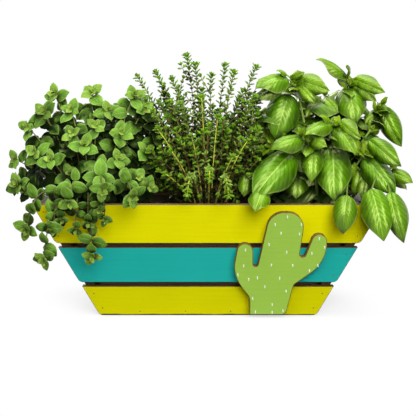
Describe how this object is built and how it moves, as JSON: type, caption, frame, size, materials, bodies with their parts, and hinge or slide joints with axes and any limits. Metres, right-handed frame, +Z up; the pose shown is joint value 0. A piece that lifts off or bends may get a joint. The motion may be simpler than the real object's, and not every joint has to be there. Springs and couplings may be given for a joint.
{
  "type": "herb planter",
  "caption": "Slatted wooden planter box with leaning ends, a cactus cut-out on its front and a lift-out trough of soil that holds oregano, thyme and basil.",
  "frame": {"origin": "middle of the box's underside, on the plane that it stands on", "axes": "+X along the box to the viewer's right, -Y to the front with the cactus, +Z up"},
  "size_m": [0.5001, 0.1968, 0.3098],
  "materials": {
    "yellow_paint": "brushed satin paint",
    "teal_paint": "brushed satin paint",
    "green_paint": "brushed satin paint",
    "stained_wood": "brown stain",
    "pin_steel": "plain",
    "liner_plastic": "matt moulded",
    "soil": "moist crumb",
    "oregano_green": "matt leaf",
    "thyme_green": "matt leaf",
    "basil_green": "glossy leaf"
  },
  "bodies": {
    "box": {"front_slat_top": "yellow_paint", "front_slat_middle": "teal_paint", "front_slat_bottom": "yellow_paint", "back_slat_top": "yellow_paint", "back_slat_middle": "teal_paint", "back_slat_bottom": "yellow_paint", "left_end_panel": "stained_wood", "right_end_panel": "stained_wood", "base_board": "stained_wood", "front_pins": "pin_steel", "back_pins": "pin_steel", "cactus_cutout": "green_paint"},
    "trough": {"liner_trough": "liner_plastic", "potting_soil": "soil", "oregano_sprigs": "oregano_green", "thyme_sprigs": "thyme_green", "basil_sprigs": "basil_green"}
  },
  "joints": [
    {"name": "liner_lift", "type": "slide", "parent": "box", "child": "trough", "axis": [0, 0, 1], "range_m": [0, 0.16]}
  ]
}
